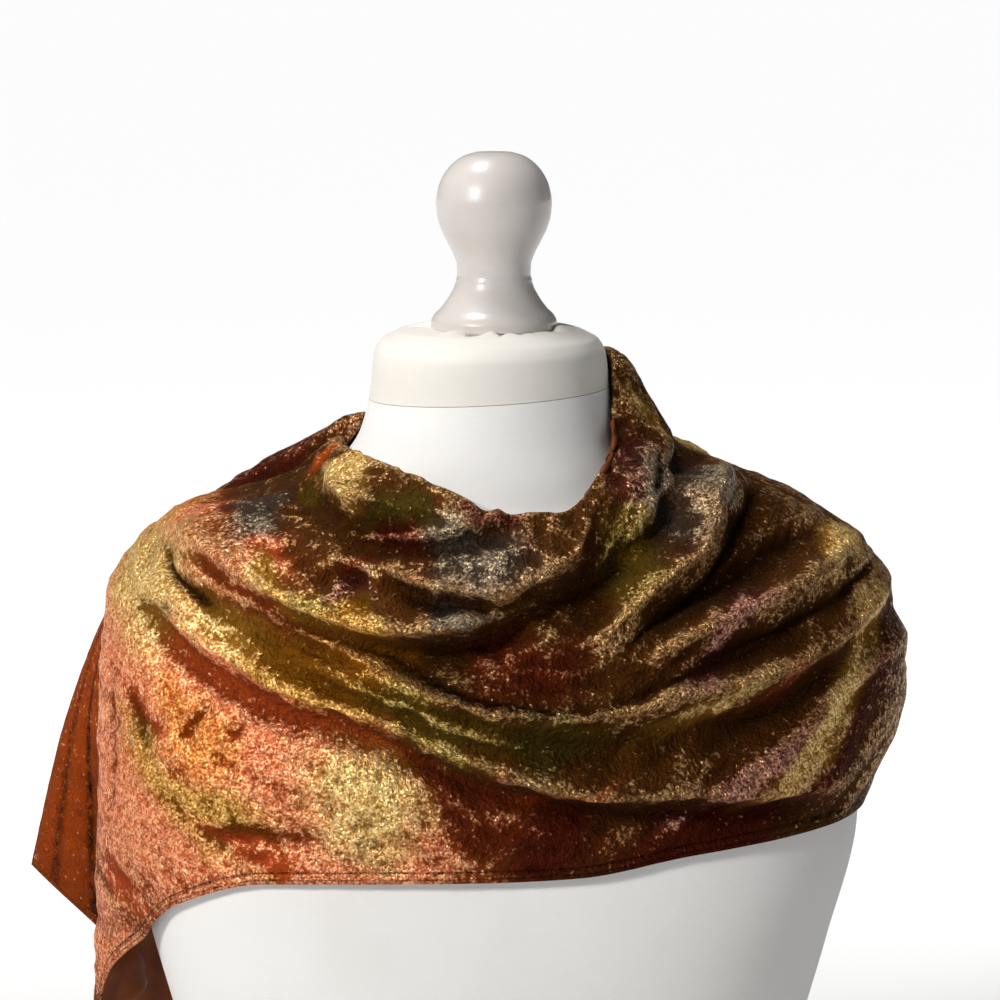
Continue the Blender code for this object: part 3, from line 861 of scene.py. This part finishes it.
winding = spaced(SCARF_COLUMNS, SCARF_SPACING)
shares = row_shares(SCARF_ROWS)
turn, radius, height, length = cloth_base(winding, shares)
smooth = place(turn, radius, height)
outward = surface_normals(smooth)
hemward = unit(np.gradient(smooth, axis=1))
scarf_points = smooth.copy()
crest_line = np.zeros((SCARF_COLUMNS, SCARF_ROWS))
overhang = np.zeros((SCARF_COLUMNS, SCARF_ROWS))
for _, above, below, lean, route in FOLDS:
    lift, line, under = ridge_lift(winding, shares, radius, length, above, below, lean, route)
    crest_line = np.maximum(crest_line, line)
    overhang = np.maximum(overhang, under)
    scarf_points += (outward + hemward * lean) * lift[:, :, None] * MM
sunk = np.zeros((SCARF_COLUMNS, SCARF_ROWS))
for _, width, route in CREASES:
    lift = crease_lift(winding, shares, radius, length, width, route)
    sunk -= lift
    scarf_points += outward * lift[:, :, None] * MM
print("folds", len(FOLDS), "creases", len(CREASES))

# %% [markdown]
# # Wrinkles
# Between its folds, crushed velvet is never smooth. Three layers of noise over the flat cloth give long
# soft wrinkles, short crushed ones with sharp ridges, and a fine crumple. They run along the strip, as the
# folds do, and die away at the stitched edges.

# %% Wrinkles
WRINKLES = [
    # size along, size across, height, sharp
    (46, 13, 1.5, False),
    (17, 8, 1.4, True),
    (6, 5, 0.35, False),
]
EDGE_CALM = 9.0
LEAST_WRINKLE = 0.12
BEND = 5.0
BEND_SIZE = (22, 22)

cloth_mm = np.stack([
    np.radians(winding)[:, None] * ROUTE_RADIUS + 0 * length[:, None] * shares,
    length[:, None] * shares[None, :],
], -1)
bent = cloth_mm + BEND * np.stack([slow_noise(cloth_mm, BEND_SIZE, seed) for seed in (11, 12)], -1)
wrinkle = np.zeros((SCARF_COLUMNS, SCARF_ROWS))
for seed, (along, across, wave, sharp) in enumerate(WRINKLES):
    swell = slow_noise(bent, (along, across), 20 + seed)
    wrinkle += wave * (0.5 - 2 * np.abs(swell) if sharp else swell)
from_edge = np.minimum(cloth_mm[..., 1], length[:, None] - cloth_mm[..., 1])
from_ends = np.minimum(cloth_mm[:1, :, 0] - cloth_mm[..., 0], cloth_mm[..., 0] - cloth_mm[-1:, :, 0])
from_edge = np.minimum(from_edge, from_ends)
wrinkle *= np.clip(from_edge / EDGE_CALM, LEAST_WRINKLE, 1)
scarf_points += surface_normals(scarf_points) * wrinkle[:, :, None] * MM
for _ in range(RELAX_PASSES):
    scarf_points = relaxed(scarf_points)
scarf_points = clear_of_form(scarf_points)
along_path = np.linalg.norm(np.diff(scarf_points, axis=0), axis=-1)
middle_length = along_path[:, SCARF_ROWS // 2].sum()
print("scarf", round(middle_length, 3), "m long at its middle,", round(length.mean() * MM, 3), "m wide")

# %% [markdown]
# # The dye
# The strip was dyed by hand in mottled pools of coral, gold, olive, grey, mauve and maroon, which run into
# each other. A picture could hold them, but a table says it better: each pool has a dye, a place, a reach in
# millimetres both ways, and how much of its pile stands up, which sets how many tufts get a painted glint.
# Below 0, the pile stays flat on a low crest too. Every dye has a deep ground colour and a bright one, which
# is a painted glint for tufts that catch the light. Slow noise bends the pools' edges, so that none is round.

# %% Dyes
DYES = {
    # name: deep ground, bright tuft colour with its painted glint
    "coral": ((0.34, 0.052, 0.011), (1.0, 0.39, 0.19)),
    "orange": ((0.28, 0.044, 0.005), (0.92, 0.36, 0.09)),
    "gold": ((0.27, 0.120, 0.014), (1.0, 0.70, 0.28)),
    "ochre": ((0.17, 0.060, 0.004), (0.78, 0.42, 0.10)),
    "olive": ((0.080, 0.044, 0.005), (0.52, 0.36, 0.10)),
    "moss": ((0.046, 0.028, 0.004), (0.26, 0.19, 0.06)),
    "slate": ((0.046, 0.031, 0.022), (0.33, 0.26, 0.18)),
    "mauve": ((0.070, 0.015, 0.009), (0.56, 0.26, 0.18)),
    "maroon": ((0.046, 0.007, 0.003), (0.30, 0.09, 0.05)),
    "ember": ((0.130, 0.020, 0.004), (0.40, 0.14, 0.05)),
    "rust": ((0.080, 0.013, 0.004), (0.30, 0.10, 0.04)),
    "umber": ((0.060, 0.020, 0.004), (0.40, 0.22, 0.085)),
}

POOLS = [
    # dye, angle, share, reach along, reach across, standing pile
    ("coral", 62, 0.74, 130, 100, 0.85),
    ("coral", 26, 0.93, 48, 26, 1.0),
    ("orange", 88, 0.28, 34, 28, 0.65),
    ("maroon", -46, 0.93, 90, 24, -0.35),
    ("maroon", -14, 0.89, 28, 15, -0.4),
    ("rust", 4, 0.80, 36, 20, 0.05),
    ("orange", 97, 0.72, 26, 110, -0.05),
    ("orange", 97, 0.90, 14, 16, -0.1),
    ("coral", 80, 0.98, 26, 24, 1.1),
    ("gold", 77, 0.39, 34, 32, 1.1),
    ("gold", 54, 0.49, 26, 14, 0.55),
    ("ochre", 34, 0.54, 40, 16, -0.1),
    ("olive", 14, 0.60, 40, 14, 0.3),
    ("ochre", 57, 0.80, 34, 16, 0.75),
    ("orange", 60, 0.66, 16, 12, 0.7),
    ("gold", 26, 0.82, 26, 22, 1.0),
    ("coral", 71, 0.61, 16, 10, 0.45),
    ("coral", 46, 0.91, 32, 6, 0.2),
    ("ochre", 42, 0.59, 30, 6, 0.3),
    ("coral", 74, 0.91, 12, 14, 0.3),
    ("coral", 78, 0.27, 16, 16, 0.7),
    ("slate", 70, 0.22, 20, 12, 0.1),
    ("slate", 62, 0.27, 18, 10, 0.6),
    ("coral", 54, 0.32, 18, 9, 0.75),
    ("gold", 52, 0.35, 12, 7, 0.2),
    ("ochre", 43, 0.39, 16, 8, -0.1),
    ("olive", 36, 0.38, 26, 9, 0.15),
    ("orange", 74, 0.07, 16, 14, 0.0),
    ("olive", 64, 0.13, 14, 10, 0.5),
    ("gold", 52, 0.08, 22, 13, 1.1),
    ("moss", 30, 0.13, 24, 9, -0.5),
    ("maroon", 0, 0.04, 24, 6, 0.7),
    ("maroon", 24, 0.23, 30, 9, 0.3),
    ("slate", 4, 0.18, 32, 19, 0.5),
    ("moss", 20, 0.13, 16, 10, -0.7),
    ("rust", 35, 0.31, 12, 7, 0.1),
    ("mauve", 34, 0.36, 14, 5, 0.5),
    ("slate", 4, 0.34, 18, 4, 0.35),
    ("ochre", 26, 0.44, 34, 10, 0.1),
    ("rust", -7, 0.47, 34, 14, 0.25),
    ("umber", 12, 0.47, 20, 10, 0.35),
    ("gold", -83, 0.09, 12, 14, 0.5),
    ("mauve", -55, 0.11, 30, 18, 0.45),
    ("slate", -72, 0.23, 20, 14, 0.8),
    ("slate", -54, 0.22, 28, 20, 0.9),
    ("olive", -38, 0.27, 22, 16, 0.4),
    ("umber", -68, 0.42, 46, 20, -0.2),
    ("mauve", -52, 0.52, 26, 8, 0.4),
    ("umber", -74, 0.60, 30, 8, -0.2),
    ("gold", -84, 0.52, 18, 12, 0.4),
    ("gold", -74, 0.70, 24, 8, 0.5),
    ("gold", -60, 0.82, 26, 9, 0.75),
    ("gold", -43, 0.66, 26, 8, 0.85),
    ("mauve", -48, 0.83, 24, 5, 0.45),
    ("moss", -15, 0.63, 34, 10, 0.15),
    ("ember", -57, 0.655, 14, 5, 0.1),
    ("umber", -30, 0.77, 28, 11, -0.5),
    ("ember", -18, 0.79, 24, 5, 0.5),
    ("gold", -118, 0.30, 30, 26, 0.5),
    ("maroon", -128, 0.66, 44, 40, 0.5),
    ("olive", -150, 0.44, 46, 30, 0.5),
    ("ochre", -160, 0.84, 50, 26, 0.6),
    ("mauve", -182, 0.24, 40, 30, 0.5),
    ("gold", -200, 0.60, 44, 24, 0.7),
    ("slate", -216, 0.36, 30, 24, 0.4),
    ("coral", -226, 0.84, 50, 36, 0.6),
    ("maroon", -250, 0.20, 76, 60, 0.0),
    ("rust", -252, 0.66, 30, 40, 0.3),
]
FIRST_DYE = "umber"
FIRST_PILE = 0.18
POOL_WARPS = [
    # size, reach
    (38.0, 15.0),
    (12.0, 6.0),
]
POOL_EDGE = 1.1


# %% Pools on the cloth
warped = cloth_mm.copy()
for size, warp in POOL_WARPS:
    warped += warp * np.stack([slow_noise(cloth_mm, (size, size), seed) for seed in (1, 2)], -1)
ground_and_fold_light = np.tile(np.array(DYES[FIRST_DYE][0]), (SCARF_COLUMNS, SCARF_ROWS, 1))
tuft_glint = np.tile(np.array(DYES[FIRST_DYE][1]), (SCARF_COLUMNS, SCARF_ROWS, 1))
pile_and_crest_glint = np.full((SCARF_COLUMNS, SCARF_ROWS), FIRST_PILE)
for dye_name, angle, share, reach_along, reach_across, standing in POOLS:
    middle_along = math.radians(angle) * ROUTE_RADIUS
    middle_across = share * np.interp(-angle, -winding, length)
    off_along = (warped[..., 0] - middle_along) / reach_along
    off_across = (warped[..., 1] - middle_across) / reach_across
    off = np.hypot(off_along, off_across)
    cover = np.clip((1 + POOL_EDGE / 2 - off) / POOL_EDGE, 0, 1)
    cover = cover * cover * (3 - 2 * cover)
    deep, bright_glint = DYES[dye_name]
    ground_and_fold_light += cover[..., None] * (np.array(deep) - ground_and_fold_light)
    tuft_glint += cover[..., None] * (np.array(bright_glint) - tuft_glint)
    pile_and_crest_glint += cover * (standing - pile_and_crest_glint)
print("pools", len(POOLS))

# %% [markdown]
# Pile that bends over a crest opens, and in a hollow it closes. The light and shade this gives are painted
# into both colours, lighter on a crest and darker in a hollow, and more tufts get the painted glint on a
# crest.
# How far each point stands out from the smoothed surface round it measures this for every fold and wrinkle
# at once. The line of each crest is then added by name as painted highlight, and the hollow under it and the
# bottom of each crease as painted shade.

# %% Crests
CREST_SCALES = [
    # smoothing passes, height that counts as full, share of pile it raises, share of painted light and shade
    # it adds
    (24, 1.0, 0.50, 0.30),
    (160, 4.5, 0.25, 0.45),
]
# Limits of the painted fold light and shade, and the painted highlight and shade of crest lines and
# overhangs.
DARKEST = 0.7
BRIGHTEST = 1.25
FULLEST_PILE = 1.2
CREASE_DARK = 0.85
CREASE_FULL = 5.5
LINE_GLINT_PILE = 0.4
LINE_LIGHT = 0.4
OVERHANG_SHADE_PILE = 0.25
OVERHANG_LIGHT = 0.2

blurred = scarf_points
passes_done = 0
normals = surface_normals(scarf_points)
hollow_light = np.ones((SCARF_COLUMNS, SCARF_ROWS))
for passes, full, raises, takes in CREST_SCALES:
    for _ in range(passes - passes_done):
        blurred = relaxed(blurred)
    passes_done = passes
    crest = np.clip(((scarf_points - blurred) * normals).sum(-1) / MM / full, -1, 1)
    pile_and_crest_glint = pile_and_crest_glint + raises * crest
    hollow_light += takes * crest
    print("crest share", round(float((crest > 0.3).mean()), 3))
pile_and_crest_glint = np.clip(pile_and_crest_glint + LINE_GLINT_PILE * crest_line - OVERHANG_SHADE_PILE * overhang, 0, FULLEST_PILE)
hollow_light += LINE_LIGHT * crest_line - OVERHANG_LIGHT * overhang
hollow_light = np.clip(hollow_light, DARKEST, BRIGHTEST)
hollow_light *= 1 - CREASE_DARK * np.clip(sunk / CREASE_FULL, 0, 1) ** 2
# Painted highlight on crests, painted shade in hollows, creases and under overhangs, in both colours.
ground_and_fold_light *= hollow_light[..., None]
tuft_glint *= hollow_light[..., None]

# %% [markdown]
# # The velvet
# Crushed velvet is a short shiny pile pressed in all directions, so light glints from some tufts and dies in
# others. Fine noise at the tufts' own size chooses between the ground and the bright colour, a glint that is
# painted into the base colour; where the pile stands, most tufts get it, and where it is pressed flat, few
# do. The same noise makes the bump, so each bright tuft also faces its own way.


# %% Velvet finish
HEM = 5.5
RIM = 2.0
STITCH_WIDTH = 0.9
RIM_WIDTH = 0.8
TUFT_SCALE = 500.0
GLINT_SCALE = 760.0
CLUMP_SCALE = 240.0
PATCH_SCALE = 55.0
CRUSH_SCALE = 95.0
CRUSH_LINE = 0.022
GLINT_COLOUR = (1.0, 0.74, 0.40, 1.0)
# Near black, for painted shade in the pile's creases and for the stitches and rim.
CREASE_SHADE_AND_STITCH_COLOUR = (0.006, 0.002, 0.001, 1.0)
VELVET_SHEEN = (1.0, 0.62, 0.34, 1.0)


def seam_line(edge, at, width):
    """A dark line at a distance from the cloth's edge."""
    return edge.between(at - width, at) * (1.0 - edge.between(at, at + width))


def velvet_finish(name):
    """Crushed velvet over the stored dyes, with painted glints and painted fold shade in its base colour."""
    finish = Finish(name, Sheen_Weight=0.06, Sheen_Roughness=0.3, Specular_IOR_Level=0.0)
    finish.shader.inputs["Sheen Tint"].default_value = VELVET_SHEEN
    deep = finish.attribute("ground_and_fold_light", 0)
    bright_glint = finish.attribute("tuft_glint", 0)
    standing = finish.attribute("pile_and_crest_glint")
    edge = finish.attribute("edge")

    # Stored pile, raised on crests, sets how many tufts get the painted glint; noise at four sizes says
    # which.
    tufts = finish.noise(TUFT_SCALE)
    glints = finish.noise(GLINT_SCALE, 1.0)
    clumps = finish.noise(CLUMP_SCALE, 4.0, 0.62)
    patches = finish.noise(PATCH_SCALE, 3.0, 0.6, 0.5)
    level = standing + 1.9 * (clumps - 0.5) + 0.7 * (patches - 0.5)
    lit = (tufts + 0.45 * (level.at_most(0.9) - 0.62)).between(0.38, 0.60)
    lit = lit * (0.22 + 0.78 * glints.between(0.36, 0.55)) * (0.35 + 0.65 * clumps.between(0.36, 0.58))
    spark = glints.between(0.52, 0.66) * lit

    # Thin lines of painted shade lie in the fine creases of the crushed pile.
    crush = (finish.noise(CRUSH_SCALE, 3.0, 0.55, 0.8) - 0.5).size()
    crush_shade_line = 1.0 - crush.between(0.0, CRUSH_LINE)
    # Thin dark lines mark the hem's stitches and the rolled rim.
    seams = 0.8 * seam_line(edge, HEM, STITCH_WIDTH) + 0.6 * seam_line(edge, RIM, RIM_WIDTH)
    dark = (0.35 * crush_shade_line + seams * clumps.between(0.35, 0.5)).at_most(1.0)
    # The bright tuft colour and the paler spark over it are painted glints mixed into the base colour.
    pale = finish.mix(bright_glint, GLINT_COLOUR, 0.4 * spark)
    cloth = finish.mix(deep, pale, lit)
    finish.feed("Base Color", finish.mix(cloth, CREASE_SHADE_AND_STITCH_COLOUR, dark))
    finish.feed("Roughness", 0.52 - 0.17 * lit)
    finish.feed("Metallic", 0.35 + 0.4 * lit)

    # The rolled hem, the crushed pile and the tufts are three bumps, each over the last.
    rolled = finish.bump(1.0 - edge.between(HEM - 2.0, HEM), 0.0012)
    crumple = clumps + patches * 0.8 + crush.at_most(0.1) * 6.0
    coarse = finish.bump(crumple, 0.0024, 0.5, over=rolled)
    finish.feed("Normal", finish.bump(tufts, 0.0016, 0.8, over=coarse))
    return finish


velvet = velvet_finish("dyed velvet")

# %% [markdown]
# # The wrong side
# The back of velvet has no pile. It is a smooth close weave in a duller tone of the same dye, with a soft
# satin gloss.

# %% Wrong side finish
BACK_COLOUR = (0.26, 0.065, 0.014, 1.0)
BACK_SHADE = (0.07, 0.015, 0.004, 1.0)

wrong_side = Finish("velvet back", Roughness=0.5, Specular_IOR_Level=0.2)
# The stored ground colour brings the front's painted crest highlight and hollow shade with it.
back_tone = wrong_side.mix(wrong_side.attribute("ground_and_fold_light", 0), BACK_COLOUR, 0.65)
cloudy = wrong_side.noise(60.0, 3.0).between(0.3, 0.7)
wrong_side.feed("Base Color", wrong_side.mix(back_tone, BACK_SHADE, 0.6 * cloudy))
wrong_side.feed("Normal", wrong_side.bump(wrong_side.noise(900.0), 0.0003, 0.3))

# %% Scarf piece
WALL = 1.1


def store(mesh, name, values):
    """Keep a number or a colour at each point of a mesh."""
    if values.ndim == 1:
        mesh.attributes.new(name, "FLOAT", "POINT").data.foreach_set("value", values)
        return
    colours = np.column_stack([values, np.ones(len(values))])
    mesh.color_attributes.new(name, "FLOAT_COLOR", "POINT").data.foreach_set("color", colours.ravel())


scarf_mesh = grid_mesh("scarf", scarf_points[::-1])
store(scarf_mesh, "ground_and_fold_light", ground_and_fold_light[::-1].reshape(-1, 3))
store(scarf_mesh, "tuft_glint", tuft_glint[::-1].reshape(-1, 3))
store(scarf_mesh, "pile_and_crest_glint", pile_and_crest_glint[::-1].ravel())
store(scarf_mesh, "edge", from_edge[::-1].ravel())
scarf = add_piece("scarf", scarf_mesh, velvet, ["scarf_front_stretch", "scarf_back_stretch"])
scarf_mesh.materials.append(wrong_side.material)
wall = scarf.modifiers.new("wall", "SOLIDIFY")
wall.thickness = WALL * MM
wall.offset = -1
wall.material_offset = 1
apply_modifiers(scarf)
print("scarf faces", len(scarf.data.polygons))

# %% [markdown]
# # Floor
# A pale floor catches a soft shadow under the form, as in a studio. It glows more and more towards the back
# and far from the form, so that it fades into a white surround with no horizon.

# %% Floor
FLOOR_HALF = 500.0
FLOOR_DROP = 0.0005
BLACK = (0.0, 0.0, 0.0, 1.0)
FLOOR_SHADE = (0.80, 0.80, 0.80, 1.0)
FLOOR_COLOUR = (0.84, 0.84, 0.84, 1.0)

floor_finish = Finish("floor", Roughness=0.9, Emission_Strength=0.9)
on_floor = floor_finish.coordinates()
distance = floor_finish.node("ShaderNodeVectorMath", {"operation": "LENGTH"}, {0: on_floor}, output=1)
behind = floor_finish.node("ShaderNodeSeparateXYZ", sockets={0: on_floor}, output=1)
glow = (0.6 * behind.between(0.1, 1.1) + 0.4 * distance.between(0.5, 2.0)).at_most(1.0)
floor_finish.feed("Emission Color", floor_finish.mix(BLACK, WHITE, glow))
floor_finish.feed("Base Color", floor_finish.mix(FLOOR_SHADE, FLOOR_COLOUR, floor_finish.noise(3.0)))

floor_mesh = bpy.data.meshes.new("floor")
corners = [(x * FLOOR_HALF, y * FLOOR_HALF, 0) for x, y in ((-1, -1), (1, -1), (1, 1), (-1, 1))]
floor_mesh.from_pydata(corners, [], [(0, 1, 2, 3)])
floor_mesh.materials.append(floor_finish.material)
floor = bpy.data.objects.new("floor", floor_mesh)
bpy.context.scene.collection.objects.link(floor)
floor.location.z = -FLOOR_DROP
print("floor half side", FLOOR_HALF)
